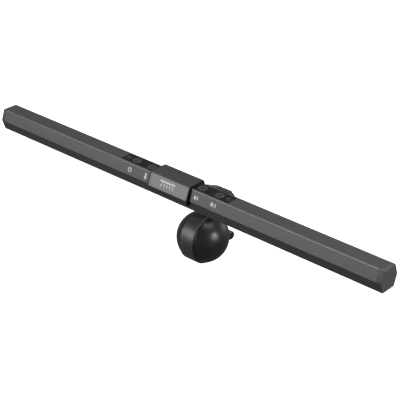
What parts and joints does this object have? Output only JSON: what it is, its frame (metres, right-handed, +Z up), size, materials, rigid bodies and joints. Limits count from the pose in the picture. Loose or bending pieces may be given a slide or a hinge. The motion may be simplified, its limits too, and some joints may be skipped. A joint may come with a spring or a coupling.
{
  "type": "monitor light bar",
  "caption": "Faceted aluminium light bar on a hinged clip that sits over a monitor's top edge, with round touch keys and a folding ball-shaped counterweight.",
  "frame": {"origin": "middle of the seat pad's underside, where the clip rests on the monitor's top edge", "axes": "+X along the bar towards the brightness key, +Y behind the screen, +Z up"},
  "size_m": [0.45, 0.0789, 0.1011],
  "materials": {
    "bar_metal": "satin grey anodised",
    "cap_plastic": "satin grey, matched to the bar",
    "diffuser_white": "translucent white, fine frosting",
    "reflector_white": "smooth white",
    "circuit_board": "solder mask",
    "socket_steel": "plated",
    "sleeve_plastic": "fine satin grain",
    "face_metal": "brushed along the bar",
    "bracket_plastic": "fine grain",
    "hardware_steel": "zinc plated",
    "washer_plastic": "natural nylon",
    "panel_gloss": "gloss black",
    "key_plastic": "satin black with a lighter rim",
    "window_smoke": "smoked lens",
    "clip_gloss": "gloss black",
    "rubber": "matte",
    "spring_steel": "bright drawn wire",
    "ball_gloss": "gloss black",
    "belt_gloss": "gloss black band",
    "weight_iron": "as cast"
  },
  "bodies": {
    "clip": {"clip_body": "clip_gloss", "seat_pad": "rubber", "lip_pad": "rubber", "hinge_pin": "hardware_steel", "torsion_spring": "spring_steel"},
    "lamp": {"housing": "bar_metal", "end_cap_left": "cap_plastic", "end_cap_right": "cap_plastic", "diffuser": "diffuser_white", "reflector": "reflector_white", "led_board": "circuit_board", "control_board": "circuit_board", "usb_socket": "socket_steel", "sleeve": "sleeve_plastic", "face_plate": "face_metal", "saddle": "bracket_plastic", "saddle_screw_left": "hardware_steel", "saddle_screw_right": "hardware_steel", "tilt_bolt": "hardware_steel", "tilt_nut": "hardware_steel", "friction_washer_left": "washer_plastic", "friction_washer_right": "washer_plastic", "key_panel_left": "panel_gloss", "key_panel_right": "panel_gloss", "indicator_window": "window_smoke", "sensor_window": "window_smoke"},
    "arm": {"arm": "clip_gloss"},
    "ball": {"ball_belt": "belt_gloss", "ball_cap_left": "ball_gloss", "ball_cap_right": "ball_gloss", "ball_weight": "weight_iron"},
    "key_warmth": {"key_warmth": "key_plastic"},
    "key_power": {"key_power": "key_plastic"},
    "key_tint": {"key_tint": "key_plastic"},
    "key_brightness": {"key_brightness": "key_plastic"}
  },
  "joints": [
    {"name": "bar_tilt", "type": "hinge", "parent": "clip", "child": "lamp", "pos_m": [0, -0.0225, 0.0205], "axis": [1, 0, 0], "range_deg": [-20, 20]},
    {"name": "arm_swing", "type": "hinge", "parent": "clip", "child": "arm", "pos_m": [0, 0.0165, -0.0047], "axis": [1, 0, 0], "range_deg": [0, 90], "stiffness_Nm_per_rad": 0.03, "springref_deg": -160.43},
    {"name": "ball_fold", "type": "hinge", "parent": "arm", "child": "ball", "pos_m": [0, 0.0159, -0.039], "axis": [1, 0, 0], "range_deg": [0, 90]},
    {"name": "key_warmth_press", "type": "slide", "parent": "lamp", "child": "key_warmth", "axis": [0, 0, -1], "range_m": [0, 0.0005], "stiffness_N_per_m": 300},
    {"name": "key_power_press", "type": "slide", "parent": "lamp", "child": "key_power", "axis": [0, 0, -1], "range_m": [0, 0.0005], "stiffness_N_per_m": 300},
    {"name": "key_tint_press", "type": "slide", "parent": "lamp", "child": "key_tint", "axis": [0, 0, -1], "range_m": [0, 0.0005], "stiffness_N_per_m": 300},
    {"name": "key_brightness_press", "type": "slide", "parent": "lamp", "child": "key_brightness", "axis": [0, 0, -1], "range_m": [0, 0.0005], "stiffness_N_per_m": 300}
  ]
}
